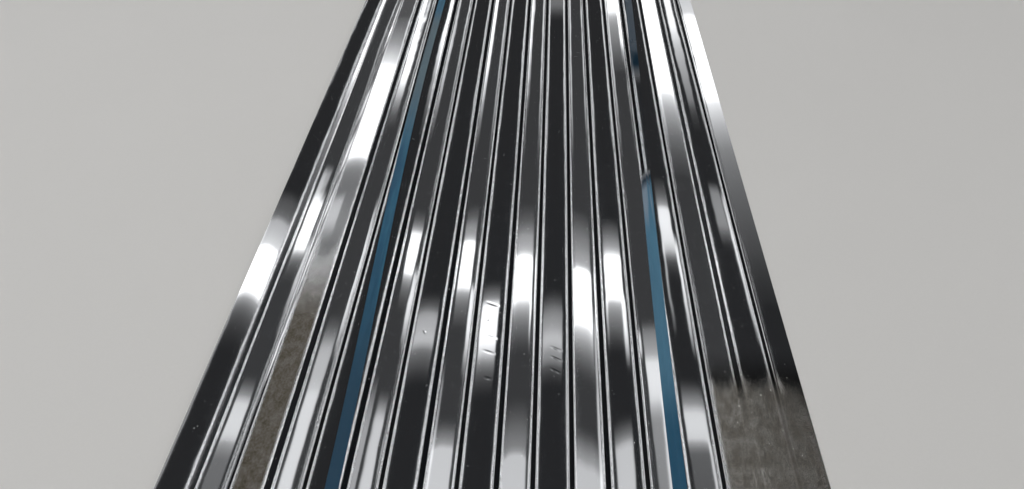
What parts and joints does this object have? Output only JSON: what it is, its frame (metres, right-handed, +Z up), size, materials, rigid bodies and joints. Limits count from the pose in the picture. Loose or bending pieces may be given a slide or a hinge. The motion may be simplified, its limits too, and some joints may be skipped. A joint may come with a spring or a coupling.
{
  "type": "corrugated metal sheet",
  "caption": "Shallow trapezoidal corrugated sheet of mirror-bright stainless steel, lying on its valleys, with strips of blue protective film along its face",
  "frame": {"origin": "under the middle of the sheet, on the plane that the valleys rest on", "axes": "the ribs run along Y, X is across the ribs with the crown-height flange at minus X, and Z is up out of the face"},
  "size_m": [0.9744, 2, 0.0079],
  "materials": {
    "bright_steel": "bright-annealed stainless steel, mirror polished, with faint waviness, wiped haze and handling scratches",
    "protective_film": "thin blue polyethylene protective film, slightly glossy, with fine creases"
  },
  "bodies": {
    "root": {"corrugated_sheet": "bright_steel", "film_strip_left": "protective_film", "film_strip_right": "protective_film"}
  },
  "joints": []
}
